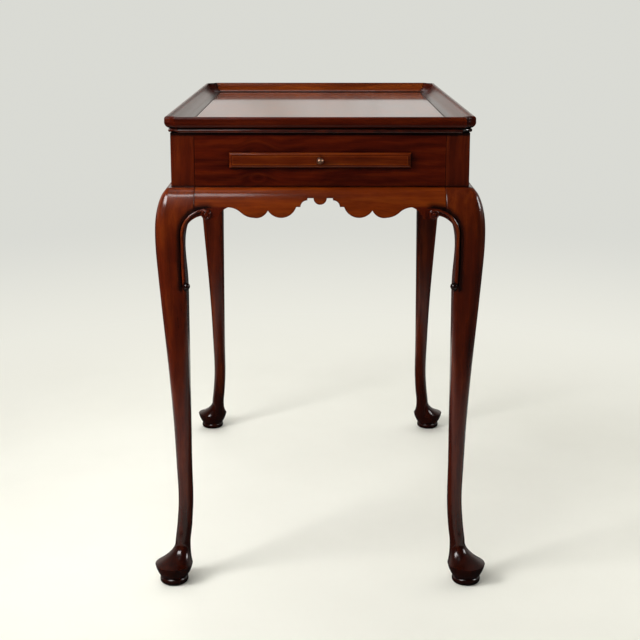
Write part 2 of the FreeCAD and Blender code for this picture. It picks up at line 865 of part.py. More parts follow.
def build():
    nodes = {"tray_board": tray_board()}

    end_run = rim_run(False)
    side_run = rim_run(True)
    nodes["rim_back"] = end_run
    nodes["rim_front"] = to_corner(end_run, 1, -1)
    nodes["rim_right"] = side_run
    nodes["rim_left"] = to_corner(side_run, -1, 1)

    leg = cabriole_leg()
    end_bracket = knee_bracket(leg)
    side_bracket = across_diagonal(end_bracket)
    scoop = rim_corner()
    block = corner_block()
    for name, signs in corners.items():
        nodes["rim_corner_" + name] = to_corner(scoop, *signs)
        nodes["leg_" + name] = to_corner(moved(leg, frieze_x, frieze_y), *signs)
        nodes["end_bracket_" + name] = to_corner(moved(end_bracket, frieze_x, frieze_y), *signs)
        nodes["side_bracket_" + name] = to_corner(moved(side_bracket, frieze_x, frieze_y), *signs)
        nodes["corner_block_" + name] = to_corner(block, *signs)

    slotted = moved(end_rail(), 0, frieze_y)
    plain = moved(turned(frieze_rail(span_y), -90), frieze_x, 0)
    end_skirt = moved(skirt(span_x), 0, frieze_y)
    side_skirt = moved(turned(skirt(span_y), -90), frieze_x, 0)
    slide_pieces = {
        "slide_board": slide_board(),
        "slide_lip": slide_lip(),
        "slide_knob": slide_knob(),
        "slide_stop_pegs": stop_pegs(),
        "end_rail": slotted,
        "end_skirt": end_skirt,
    }
    for name, shape in slide_pieces.items():
        nodes[name + "_back"] = shape
        nodes[name + "_front"] = to_corner(shape, 1, -1)
    runner = slide_runner()
    for name, side in (("left", -1), ("right", 1)):
        nodes["side_rail_" + name] = to_corner(plain, side, 1)
        nodes["side_skirt_" + name] = to_corner(side_skirt, side, 1)
        nodes["slide_runner_" + name] = to_corner(runner, side, 1)
        nodes["top_cleat_" + name] = top_cleat(side)
    nodes["top_screws"] = top_screws()
    return nodes


os.makedirs("parts", exist_ok=True)
for node_name, node_shape in build().items():
    solids = Part.makeCompound(node_shape.Solids)
    if len(solids.Solids) == 1:
        solids = solids.Solids[0]
    solids.exportStep(os.path.join("parts", node_name + ".step"))
    print(node_name, len(node_shape.Solids), round(node_shape.Volume / 1000, 2), node_shape.isValid())
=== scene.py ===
import bmesh
import bpy
import math
from mathutils import Matrix, Vector


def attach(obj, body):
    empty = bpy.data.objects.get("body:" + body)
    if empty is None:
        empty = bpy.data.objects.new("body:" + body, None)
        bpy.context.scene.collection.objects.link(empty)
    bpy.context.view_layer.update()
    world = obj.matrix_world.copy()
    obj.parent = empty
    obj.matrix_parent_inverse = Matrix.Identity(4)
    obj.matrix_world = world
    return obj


# Tray top tea table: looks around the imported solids, in metres, floor at Z 0, slide ends at -Y and +Y

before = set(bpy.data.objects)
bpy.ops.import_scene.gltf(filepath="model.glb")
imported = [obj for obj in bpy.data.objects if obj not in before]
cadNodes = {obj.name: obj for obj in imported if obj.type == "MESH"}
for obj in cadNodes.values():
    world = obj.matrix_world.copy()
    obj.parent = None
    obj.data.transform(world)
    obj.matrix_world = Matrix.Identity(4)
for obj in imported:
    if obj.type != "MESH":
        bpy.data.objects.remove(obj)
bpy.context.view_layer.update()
scene = bpy.context.scene
print("frame loaded:", len(cadNodes), "nodes")


# places that the finishes and the carving follow, taken from the solids

def solidBox(name):
    corners = cadNodes[name].bound_box
    return Vector(corners[0]), Vector(corners[6])  # lowest and highest


post = 0.0335  # square of a leg's post
railLow, railHigh = solidBox("end_rail_back")
friezeFoot, friezeHead = railLow.z, railHigh.z
friezeFace = {"X": solidBox("side_rail_right")[1].x, "Y": railHigh.y}  # from the middle planes
postJoint = {axis: face - post for axis, face in friezeFace.items()}
rimFoot = {"X": solidBox("rim_right")[0].x, "Y": solidBox("rim_back")[0].y}
rimEnd = solidBox("rim_corner_back_right")[1].y
trayLevel = solidBox("tray_board")[1].z
print("places measured: frieze from", round(friezeFoot, 4), "to", round(friezeHead, 4))


# camera, at the height of a seated viewer, square on to the slide end

viewpoint = {
    "place": (-0.0002, -2.1277, 0.8654),
    "pitchDown": 11.67,  # degrees
    "lens": 71.7,
    "sensor": 36.0,
    "shiftY": -0.1,
    "tones": "Standard",
}


def placeCamera():
    data = bpy.data.cameras.new("viewCamera")
    data.lens = viewpoint["lens"]
    data.sensor_width = viewpoint["sensor"]
    data.shift_y = viewpoint["shiftY"]
    camera = bpy.data.objects.new("viewCamera", data)
    camera.location = viewpoint["place"]
    camera.rotation_euler = (math.radians(90 - viewpoint["pitchDown"]), 0, 0)
    scene.collection.objects.link(camera)
    scene.camera = camera
    scene.view_settings.view_transform = viewpoint["tones"]


placeCamera()
print("camera placed")


# shader helpers

untouched = (1.0, 1.0, 1.0)  # a tone that leaves the colour under it as it is


def threeOf(value):
    return (value,) * 3


def newMaterial(name):
    material = bpy.data.materials.new(name)
    material.use_nodes = True
    tree = material.node_tree
    coords = tree.nodes.new("ShaderNodeTexCoord").outputs["Object"]
    return material, tree, tree.nodes["Principled BSDF"], coords


def addNode(tree, kind, **values):
    node = tree.nodes.new(kind)
    for key, value in values.items():
        if hasattr(node, key):
            setattr(node, key, value)
        else:
            node.inputs[key.replace("_", " ")].default_value = value
    return node


def addMath(tree, operation, first, second=0.0):
    node = addNode(tree, "ShaderNodeMath", operation=operation)
    for socket, value in zip(node.inputs, (first, second)):
        if isinstance(value, (int, float)):
            socket.default_value = value
        else:
            tree.links.new(value, socket)
    return node.outputs[0]


def addProduct(tree, first, *others):
    product = first
    for other in others:
        product = addMath(tree, "MULTIPLY", product, other)
    return product


def weightedSum(tree, start, parts):
    total = start
    for value, weight in parts:
        total = addMath(tree, "ADD", addMath(tree, "MULTIPLY", value, weight), total)
    return total


def restOf(tree, share):
    return addMath(tree, "SUBTRACT", 1.0, share)


def distanceFrom(tree, value, place):
    return addMath(tree, "ABSOLUTE", addMath(tree, "SUBTRACT", value, place))


def pairLength(tree, first, second):
    squares = [addMath(tree, "POWER", value, 2) for value in (first, second)]
    return addMath(tree, "SQRT", addMath(tree, "ADD", *squares))


def addVector(tree, operation, first, second):
    node = addNode(tree, "ShaderNodeVectorMath", operation=operation)
    for socket, value in zip(node.inputs, (first, second)):
        if isinstance(value, tuple):
            socket.default_value = value
        else:
            tree.links.new(value, socket)
    return node.outputs["Vector"]


def addRamp(tree, factor, stops):
    node = tree.nodes.new("ShaderNodeValToRGB")
    ramp = node.color_ramp
    while len(ramp.elements) < len(stops):
        ramp.elements.new(0.5)
    for element, (position, colour) in zip(ramp.elements, stops):
        element.position = position
        element.color = (*colour, 1.0)
    tree.links.new(factor, node.inputs["Fac"])
    return node.outputs["Color"]


def addMix(tree, blend, factor, first, second):
    node = addNode(tree, "ShaderNodeMix", data_type="RGBA", blend_type=blend)
    for name, value in (("Factor_Float", factor), ("A_Color", first), ("B_Color", second)):
        socket = next(s for s in node.inputs if s.identifier == name)
        if isinstance(value, (int, float)):
            socket.default_value = value
        elif isinstance(value, tuple):
            socket.default_value = (*value, 1.0)
        else:
            tree.links.new(value, socket)
    return next(s for s in node.outputs if s.identifier == "Result_Color")


def shadeBy(tree, colour, factor, stops, share=1.0):
    return addMix(tree, "MULTIPLY", share, colour, addRamp(tree, factor, stops))


def addNoise(tree, vector, scale, detail, rough=0.55):
    noise = addNode(tree, "ShaderNodeTexNoise", Scale=scale, Detail=detail, Roughness=rough)
    tree.links.new(vector, noise.inputs["Vector"])
    return noise


def smoothRise(tree, value, low, high):
    rise = addNode(tree, "ShaderNodeMapRange", interpolation_type="SMOOTHSTEP")
    rise.inputs["From Min"].default_value = low
    rise.inputs["From Max"].default_value = high
    tree.links.new(value, rise.inputs["Value"])
    return rise.outputs["Result"]


def splitAxes(tree, vector):
    split = tree.nodes.new("ShaderNodeSeparateXYZ")
    tree.links.new(vector, split.inputs[0])
    return split.outputs


# polished wood: growth rings, ribbon streaks, pores, dark joints, painted shade in hollows, joints and under
# the tray, painted highlights on edges, and wax sheen over it

jointCore = 0.3  # share of a joint's width that is fully dark
coveBlend = (-0.0008, 0.0004)  # where two tones meet, from the edge of a cove


def bentGrain(tree, coords, wood):
    sway = addNoise(tree, coords, wood["swayScale"], wood["swayDetail"])
    centred = addVector(tree, "SUBTRACT", sway.outputs["Color"], threeOf(0.5))  # noise runs from 0 to 1
    bent = addVector(tree, "ADD", coords, addVector(tree, "MULTIPLY", centred, threeOf(wood["sway"])))
    if "knot" in wood:
        knot = wood["knot"]  # the grain runs over it in a low arch
        offset = distanceFrom(tree, splitAxes(tree, coords)["X"], knot["place"][0])
        lift = addMath(tree, "MULTIPLY", smoothRise(tree, offset, 0.0, knot["spread"]), knot["lift"])
        arch = tree.nodes.new("ShaderNodeCombineXYZ")
        tree.links.new(addMath(tree, "ADD", lift, knot["sawnAt"]), arch.inputs["Z"])
        bent = addVector(tree, "ADD", bent, arch.outputs[0])
    return bent


def stretchedNoise(tree, bent, axis, grain):
    across = grain["across"]
    scale = tuple(across * grain["stretch"] if name == axis else across for name in "XYZ")
    mapping = addNode(tree, "ShaderNodeMapping", Scale=scale)
    tree.links.new(bent, mapping.inputs["Vector"])
    return addNoise(tree, mapping.outputs["Vector"], 1.0, grain["detail"], grain["rough"]).outputs["Fac"]


def growthRings(tree, bent, wood):
    heart = addNode(tree, "ShaderNodeMapping", Location=wood["heart"], Rotation=wood["heartTilt"])
    tree.links.new(bent, heart.inputs["Vector"])
    rings = addNode(
        tree, "ShaderNodeTexWave", wave_type="RINGS", rings_direction=wood["grain"], wave_profile="SIN",
        Scale=wood["rings"], Distortion=wood["ringSway"], Detail=wood["ringDetail"],
        Detail_Scale=wood["ringDetailScale"],
    )
    tree.links.new(heart.outputs["Vector"], rings.inputs["Vector"])
    return rings.outputs["Fac"]


# dark joint lines, and bands of painted shade
def darkenJointsAndShade(tree, coords, colour, joints):
    axes = splitAxes(tree, coords)
    for axis, place, width, depth in joints:
        off = distanceFrom(tree, addMath(tree, "ABSOLUTE", axes[axis]), place)
        clear = smoothRise(tree, off, width * jointCore, width)
        colour = shadeBy(tree, colour, clear, [(0.0, threeOf(depth)), (1.0, untouched)])
    return colour


def darkenFoot(tree, coords, colour, foot):
    rise = smoothRise(tree, splitAxes(tree, coords)["Z"], foot["low"], foot["high"])
    return shadeBy(tree, colour, rise, [(0.0, foot["tone"]), (1.0, untouched)])


def darkenKnot(tree, coords, colour, knot):
    around = addVector(tree, "SUBTRACT", coords, knot["place"])
    around = addVector(tree, "MULTIPLY", around, knot["squash"])
    reach = addNode(tree, "ShaderNodeVectorMath", operation="LENGTH")
    tree.links.new(around, reach.inputs[0])
    far = addMath(tree, "DIVIDE", reach.outputs["Value"], knot["reach"])
    return shadeBy(tree, colour, far, knot["tones"], knot["share"])


# gives a cove its own tones: on the end rims the lighter cove tones are painted light, on the board's nosed
# edge the rim's own tone
def recolourCove(tree, coords, tone, colour, cove):
    reach = addMath(tree, "ABSOLUTE", splitAxes(tree, coords)[cove["axis"]])
    outside = smoothRise(tree, reach, *(cove["edge"] + blend for blend in coveBlend))
    return addMix(tree, "MIX", outside, addRamp(tree, tone, cove["tones"]), colour)


# painted shade in the hollow beside the carved bead and on and round its ball, and a painted highlight along
# the bead's crest
def paintCarvingShadeAndHighlight(tree, coords, colour, carving):
    axes = splitAxes(tree, coords)
    rise = addMath(tree, "SUBTRACT", axes["Z"], friezeFoot - carving["drop"])
    rise = addMath(tree, "MAXIMUM", rise, 0.0)
    ballRise = addMath(tree, "SUBTRACT", axes["Z"], friezeFoot - carving["ballDrop"])
    foot, blend = friezeFoot - carving["foot"], carving["footBlend"]
    above = smoothRise(tree, axes["Z"], foot - blend, foot + blend)
    for axis, other in (("X", "Y"), ("Y", "X")):
        middle = postJoint[axis] - carving["setting"]
        face = friezeFace[other] + carving["proud"]
        reach = addMath(tree, "ABSOLUTE", axes[axis])
        outer = addMath(tree, "ABSOLUTE", axes[other])
        outer = addMath(tree, "GREATER_THAN", outer, face)  # not on the legs' inner sides
        carved = addProduct(tree, above, outer)
        run = addMath(tree, "MAXIMUM", addMath(tree, "SUBTRACT", reach, middle), 0.0)
        off = addMath(tree, "SUBTRACT", pairLength(tree, run, rise), carving["radius"])

        beyond = addMath(tree, "GREATER_THAN", off, carving["bead"])
        tail = smoothRise(tree, reach, middle - carving["tail"], middle)
        near = restOf(tree, smoothRise(tree, off, carving["deep"], carving["fade"]))
        paintedShade = addProduct(tree, near, beyond, tail, carved)
        colour = addMix(tree, "MULTIPLY", paintedShade, colour, carving["tone"])

        paintedHighlightLine = restOf(tree, smoothRise(tree, addMath(tree, "ABSOLUTE", off), 0.0, carving["crest"]))
        onLeg = addMath(tree, "GREATER_THAN", reach, middle)
        crest = addProduct(tree, paintedHighlightLine, carved, onLeg)
        colour = addMix(tree, "MULTIPLY", crest, colour, carving["crestHighlightTone"])

        ballRun = addMath(tree, "SUBTRACT", reach, postJoint[axis] + carving["ballSetting"])
        ball = pairLength(tree, ballRun, ballRise)
        close = restOf(tree, smoothRise(tree, ball, carving["ballCore"], carving["ballReach"]))
        colour = addMix(tree, "MULTIPLY", addProduct(tree, close, outer), colour, carving["tone"])
    return colour


# painted light: the knee's upper shoulder lighter and more orange, where light falls on it
def paintKneeLight(tree, coords, tone, colour, knee):
    height = splitAxes(tree, coords)["Z"]
    above = smoothRise(tree, height, knee["low"], knee["high"])
    below = addMath(tree, "LESS_THAN", height, knee["top"])
    share = addProduct(tree, above, below, knee["share"])
    return addMix(tree, "MIX", share, colour, addRamp(tree, tone, knee["tones"]))


# painted shade: the colour darkens where the surface is closed in, in creases, hollows and under the parts
def paintHollowShade(tree, colour, hollowShade):
    hidden = addNode(tree, "ShaderNodeAmbientOcclusion", samples=hollowShade["samples"], Distance=hollowShade["reach"])
    stops = [(hollowShade["deep"], hollowShade["tone"]), (hollowShade["clear"], untouched)]
    return shadeBy(tree, colour, hidden.outputs["AO"], stops)


# recolours convex edges: on most woods wear with a painted highlight, on the slide lip a painted highlight,
# on the skirts darker
def toneEdges(tree, colour, edgeTone):
    edge = addNode(
        tree, "ShaderNodeAmbientOcclusion", samples=edgeTone["samples"], inside=True, only_local=True,
        Distance=edgeTone["reach"],
    )
    clearOfEdge = smoothRise(tree, edge.outputs["AO"], edgeTone["fullEdge"], edgeTone["clearOfEdge"])
    fullEdge = addMix(tree, "MULTIPLY", 1.0, colour, edgeTone["tone"])
    return addMix(tree, "MIX", clearOfEdge, fullEdge, colour)


def addRelief(tree, shader, coords, wood, height):
    bump = addNode(tree, "ShaderNodeBump", Strength=wood["bump"], Distance=wood["bumpDepth"])
    tree.links.new(height, bump.inputs["Height"])
    if "warp" in wood:
        wave = stretchedNoise(tree, coords, wood["grain"], wood["warp"])
        warped = addNode(tree, "ShaderNodeBump", Strength=1.0, Distance=wood["warp"]["depth"])
        tree.links.new(wave, warped.inputs["Height"])
        tree.links.new(warped.outputs["Normal"], bump.inputs["Normal"])
    tree.links.new(bump.outputs["Normal"], shader.inputs["Normal"])


def makeWood(name, wood):
    material, tree, shader, coords = newMaterial(name)
    bent = bentGrain(tree, coords, wood)
    rings = growthRings(tree, bent, wood)
    layers = ("ribbon", "streak", "vein", "pore")
    ribbon, streak, vein, pore = (stretchedNoise(tree, bent, wood["grain"], wood[layer]) for layer in layers)
    age = addNoise(tree, coords, wood["ageScale"], wood["ageDetail"], wood["ageRough"]).outputs["Fac"]

    tone = weightedSum(tree, 0.0, zip((rings, ribbon, streak), wood["weights"]))
    colour = addRamp(tree, tone, wood["tones"])
    if "cove" in wood:
        colour = recolourCove(tree, coords, tone, colour, wood["cove"])
    if "knee" in wood:
        colour = paintKneeLight(tree, coords, tone, colour, wood["knee"])
    colour = shadeBy(tree, colour, vein, wood["veinTones"], wood["veinDepth"])
    colour = shadeBy(tree, colour, pore, wood["poreTones"], wood["poreDepth"])
    colour = shadeBy(tree, colour, age, list(zip(wood["ageStops"], (wood["ageDark"], untouched))))
    if "knot" in wood:
        colour = darkenKnot(tree, coords, colour, wood["knot"])
    if "joints" in wood:
        colour = darkenJointsAndShade(tree, coords, colour, wood["joints"])
    if "carving" in wood:
        colour = paintCarvingShadeAndHighlight(tree, coords, colour, wood["carving"])
    if "foot" in wood:
        colour = darkenFoot(tree, coords, colour, wood["foot"])
    colour = toneEdges(tree, colour, wood["edgeTone"])
    colour = paintHollowShade(tree, colour, wood["hollowShade"])
    tree.links.new(colour, shader.inputs["Base Color"])

    rough = weightedSum(tree, wood["rough"], zip((age, streak), wood["roughSpread"]))
    tree.links.new(rough, shader.inputs["Roughness"])
    shader.inputs["Coat Weight"].default_value = wood["coat"]
    shader.inputs["Coat Roughness"].default_value = wood["coatRough"]
    shader.inputs["Coat IOR"].default_value = wood["coatIor"]
    shader.inputs["Specular IOR Level"].default_value = wood["gloss"]
    addRelief(tree, shader, coords, wood, weightedSum(tree, 0.0, zip((pore, streak), wood["relief"])))
    return material


def brown(dark, middle, light):
    return [(0.25, dark), (0.50, middle), (0.75, light)]


redBrown = brown((0.026, 0.0017, 0.0002), (0.064, 0.0050, 0.0004), (0.126, 0.0150, 0.0012))
orangeBrown = brown((0.070, 0.0090, 0.0005), (0.134, 0.0185, 0.0008), (0.220, 0.0410, 0.0024))
legBrown = brown((0.028, 0.0022, 0.0002), (0.070, 0.0066, 0.0005), (0.138, 0.0195, 0.0015))
rimBrown = brown((0.020, 0.0013, 0.0001), (0.050, 0.0040, 0.0003), (0.100, 0.0120, 0.0010))
# painted light: the end rims' cove, lighter and more orange than their outer face, as lit from above
paintedLitCoveBrown = brown((0.100, 0.0140, 0.0008), (0.175, 0.0280, 0.0014), (0.270, 0.0560, 0.0040))
trayBrown = brown((0.080, 0.0105, 0.0006), (0.190, 0.0300, 0.0015), (0.360, 0.0800, 0.0060))
lipBrown = brown((0.044, 0.0046, 0.0003), (0.092, 0.0112, 0.0006), (0.155, 0.0270, 0.0020))

# painted shade in hollows, creases and where parts meet
paintedShadeInHollows = {"reach": 0.012, "samples": 4, "deep": 0.35, "clear": 0.90, "tone": (0.08, 0.06, 0.06)}
edgeWearAndHighlight = {"reach": 0.0022, "samples": 4, "fullEdge": 0.55, "clearOfEdge": 0.93, "tone": (1.35, 1.5, 1.8)}  # worn by hands along the edges, partly a painted highlight there
# painted highlight along the slide lip's edges
paintedEdgeHighlight = {**edgeWearAndHighlight, "tone": (2.4, 3.0, 4.0)}
darkEdges = {**edgeWearAndHighlight, "tone": (0.62, 0.56, 0.55)}  # darker along the skirts' edges

ribbonGrain = {"across": 110.0, "stretch": 0.05, "detail": 5.0, "rough": 0.62}

plainWood = {
    "grain": "Z",
    "sway": 0.02,
    "swayScale": 5.0,
    "swayDetail": 2.0,
    "ribbon": ribbonGrain,
    "streak": {"across": 300.0, "stretch": 0.02, "detail": 3.0, "rough": 0.55},
    "vein": {"across": 75.0, "stretch": 0.06, "detail": 4.0, "rough": 0.6},
    "pore": {"across": 1500.0, "stretch": 0.045, "detail": 1.0, "rough": 0.55},
    "heart": (0.05, 0.09, 0.0),
    "heartTilt": (0.03, 0.02, 0.0),
    "rings": 22.0,
    "ringSway": 2.0,
    "ringDetail": 3.0,
    "ringDetailScale": 1.6,
    "weights": (0.10, 0.64, 0.26),  # of rings, ribbon and streak in the tone
    "tones": redBrown,
    "veinTones": [(0.52, untouched), (0.70, (0.30, 0.22, 0.2))],
    "veinDepth": 0.5,
    "poreTones": [(0.30, (0.45, 0.40, 0.38)), (0.42, untouched)],
    "poreDepth": 0.5,
    "ageScale": 9.0,
    "ageDetail": 3.0,
    "ageRough": 0.6,
    "ageStops": (0.32, 0.62),
    "ageDark": (0.70, 0.64, 0.60),
    "rough": 0.30,
    "roughSpread": (0.16, 0.06),  # by age and streak
    "gloss": 0.02,
    "coat": 0.85,
    "coatRough": 0.15,
    "coatIor": 1.5,
    "bump": 0.2,
    "bumpDepth": 0.0002,
    "relief": (0.6, 0.4),  # of pore and streak
    "hollowShade": paintedShadeInHollows,
    "edgeTone": edgeWearAndHighlight,
}

# dark bands: axis, place, width, depth of tone; dark joints, and painted shade where said
endJoints = [("X", postJoint["X"], 0.0011, 0.5)]  # rails and skirts against the posts
sideJoints = [("Y", postJoint["Y"], 0.0011, 0.5)]
skirtJointAndTrayShadow = [("Z", friezeFoot, 0.0016, 0.3), ("Z", friezeHead, 0.0065, 0.1)]  # the skirt's joint under the frieze, and a painted shadow under the tray's overhang
rimFootShade = [("Z", trayLevel, 0.0024, 0.12)]  # at the foot of the rim, inside and out: the dark joint, and painted shade in the quirk

hairline = 0.0001  # the knee's painted light stops this far under the frieze
coveSetting = 0.0054  # the cove in the end rims begins this far in from their outer face
noseDrop = 0.0006  # the tray board's nosed edge lies below its face

# painted shade beside the bead and round its ball, and a painted highlight on its crest
beadHollow = {
    "setting": 0.0173,  # middle of the arch that the bead follows, from the post
    "drop": 0.0655,  # that middle below the frieze
    "radius": 0.0347,
    "proud": 0.0016,  # the carving lies this far outside the frieze, and beyond
    "bead": 0.0022,
    "deep": 0.0040,  # painted shade to here from the bead's middle line, then clearing
    "fade": 0.0130,
    "tail": 0.014,  # how far it runs on past the volute
    "foot": 0.149,  # its lower end below the frieze
    "footBlend": 0.006,
    # tone of the painted shade
    "tone": (0.12, 0.10, 0.10),
    "crest": 0.0019,  # half width of the painted highlight on the bead's crest
    "crestHighlightTone": (1.5, 1.9, 2.6),
    # painted shade on and round the ball at the bead's end
    "ballSetting": 0.0124,  # middle of the ball, from the inner side of the post
    "ballDrop": 0.141,
    "ballCore": 0.0054,
    "ballReach": 0.009,
}

friezeKnot = {
    "place": (-0.088, 0.0, 0.609),
    "spread": 0.035,
    "lift": 0.009,
    "sawnAt": 0.5,  # where in the log the board was cut
    "squash": (0.55, 0.0, 1.0),
    "reach": 0.016,
    "tones": [
        (0.0, (0.30, 0.22, 0.2)),
        (0.22, (0.5, 0.42, 0.4)),
        (0.34, (0.85, 0.8, 0.8)),
        (0.5, (0.45, 0.36, 0.34)),
        (1.0, untouched),
    ],
    "share": 0.8,
}

friezeWood = {
    **plainWood, "ringSway": 2.5, "weights": (0.12, 0.62, 0.26), "veinDepth": 0.7, "sway": 0.03, "coat": 0.5,
}
skirtWood = {**plainWood, "tones": orangeBrown, "carving": beadHollow, "coat": 0.55, "edgeTone": darkEdges}
rimWood = {**plainWood, "tones": rimBrown, "joints": rimFootShade}

woods = {
    "legWood": {
        **plainWood, "tones": legBrown, "coatRough": 0.16,
        "joints": endJoints + sideJoints + skirtJointAndTrayShadow, "carving": beadHollow,
        "foot": {"low": 0.02, "high": 0.2, "tone": (0.30, 0.28, 0.30)},  # darker towards the floor
        # painted light on the knee's shoulder, lighter and more orange
        "knee": {
            "low": 0.50, "high": 0.585, "top": friezeFoot - hairline, "share": 0.6, "tones": orangeBrown,
        },
    },
    "endFriezeWood": {
        **friezeWood, "grain": "X", "heart": (0.0, 0.41, -0.66), "heartTilt": (0.0, 0.12, 0.03),
        "joints": endJoints + skirtJointAndTrayShadow, "knot": friezeKnot,
    },
    "sideFriezeWood": {
        **friezeWood, "grain": "Y", "heart": (0.27, 0.0, -0.66), "heartTilt": (0.09, 0.0, 0.03),
        "joints": sideJoints + skirtJointAndTrayShadow,
    },
    "endSkirtWood": {**skirtWood, "grain": "X", "joints": endJoints + skirtJointAndTrayShadow},
    "sideSkirtWood": {**skirtWood, "grain": "Y", "joints": sideJoints + skirtJointAndTrayShadow},
    "bracketWood": {**plainWood, "tones": rimBrown, "coatRough": 0.1, "carving": beadHollow},
    "endRimWood": {
        **rimWood, "grain": "X", "coat": 0.35, "coatRough": 0.2,
        # the cove's lighter tones are painted light
        "cove": {"axis": "Y", "edge": rimEnd - coveSetting, "tones": paintedLitCoveBrown},
    },
    "sideRimWood": {**rimWood, "grain": "Y"},
    "cornerRimWood": {**rimWood, "grain": "X", "coat": 0.2, "coatRough": 0.3},
    "trayWood": {
        **plainWood, "grain": "Y", "tones": trayBrown, "heart": (0.06, 0.0, -0.58), "rings": 18.0,
        "coat": 1.0, "coatRough": 0.06, "rough": 0.2, "gloss": 0.2,
        "ageScale": 14.0, "ageDark": (0.45, 0.4, 0.36), "ribbon": {**ribbonGrain, "across": 60.0},
        "warp": {"across": 9.0, "stretch": 0.4, "detail": 2.0, "rough": 0.55, "depth": 0.0010},
        "cove": {"axis": "Z", "edge": trayLevel - noseDrop, "tones": rimBrown},  # as dark as the rim
    },
    "endSlideWood": {**plainWood, "grain": "X", "tones": lipBrown, "edgeTone": paintedEdgeHighlight},
    "slideWood": {**plainWood, "grain": "Y", "tones": orangeBrown, "coat": 0.3},
    # dark strip in the tray joint, painted shade
    "jointShadow": {
        **plainWood, "tones": [(0.3, (0.010, 0.004, 0.002)), (0.7, (0.022, 0.009, 0.005))],
        "coat": 0.1, "coatRough": 0.4,
    },
    "oakInner": {
        **plainWood, "grain": "Y", "coat": 0.0, "rough": 0.5,
        "tones": [(0.22, (0.16, 0.085, 0.038)), (0.5, (0.30, 0.175, 0.085)), (0.78, (0.42, 0.27, 0.14))],
    },
}

finishes = {name: makeWood(name, wood) for name, wood in woods.items()}
print("woods made:", len(woods))


# metals

plainMetal = {
    "tarnishDetail": 4.0,
    "tarnishRough": 0.65,
    "tarnishStops": (0.36, 0.62),
    "polish": -0.2,  # change of roughness where the metal is bright
    "bump": 0.15,
    "bumpDepth": 0.0001,
}

metals = {
    "agedBrass": {
        **plainMetal, "bright": (0.46, 0.27, 0.17), "tarnish": (0.17, 0.08, 0.05),
        "tarnishScale": 300.0, "rough": 0.46,
    },
    "screwSteel": {
        **plainMetal, "bright": (0.34, 0.32, 0.30), "tarnish": (0.13, 0.10, 0.08),
        "tarnishScale": 400.0, "rough": 0.5,
    },
}


def makeMetal(name, metal):
    material, tree, shader, coords = newMaterial(name)
    tarnish = addNoise(tree, coords, metal["tarnishScale"], metal["tarnishDetail"], metal["tarnishRough"])
    tarnish = tarnish.outputs["Fac"]
    colour = addRamp(tree, tarnish, list(zip(metal["tarnishStops"], (metal["tarnish"], metal["bright"]))))
    tree.links.new(colour, shader.inputs["Base Color"])
    rough = weightedSum(tree, metal["rough"], [(tarnish, metal["polish"])])
    tree.links.new(rough, shader.inputs["Roughness"])
    shader.inputs["Metallic"].default_value = 1.0
    bump = addNode(tree, "ShaderNodeBump", Strength=metal["bump"], Distance=metal["bumpDepth"])
    tree.links.new(tarnish, bump.inputs["Height"])
    tree.links.new(bump.outputs["Normal"], shader.inputs["Normal"])
    return material


finishes.update({name: makeMetal(name, metal) for name, metal in metals.items()})
print("metals made:", len(metals))


# finishes on the solids, by the start of their names

finishFor = [
    ("tray_board", "trayWood"),
    ("rim_corner", "cornerRimWood"),
    ("rim_front", "endRimWood"),
    ("rim_back", "endRimWood"),
    ("rim_", "sideRimWood"),
    ("leg_", "legWood"),
    ("end_bracket", "bracketWood"),
    ("side_bracket", "bracketWood"),
    ("end_rail", "endFriezeWood"),
    ("side_rail", "sideFriezeWood"),
    ("end_skirt", "endSkirtWood"),
    ("side_skirt", "sideSkirtWood"),
    ("slide_lip", "endSlideWood"),
    ("slide_board", "slideWood"),
    ("slide_knob", "agedBrass"),
    ("top_screws", "screwSteel"),
    ("", "oakInner"),
]

for nodeName, nodeObject in cadNodes.items():
    finish = next(finishName for start, finishName in finishFor if nodeName.startswith(start))
    nodeObject.data.materials.clear()
    nodeObject.data.materials.append(finishes[finish])
print("solids finished")


# carved scroll lines that wind into the eyes of the eight volutes

carvedScroll = {
    "setting": 0.0171,  # volute's middle from the post
    "proud": 0.0236,  # its face beyond the frieze
    "drop": 0.0363,  # its middle below the frieze
    "steps": 40,
    "sides": 8,
    "Outer": 0.0063,
    "Inner": 0.0038,
    "Turns": 1.35,
    "Strand": 0.0009,
    "Taper": 0.55,
}


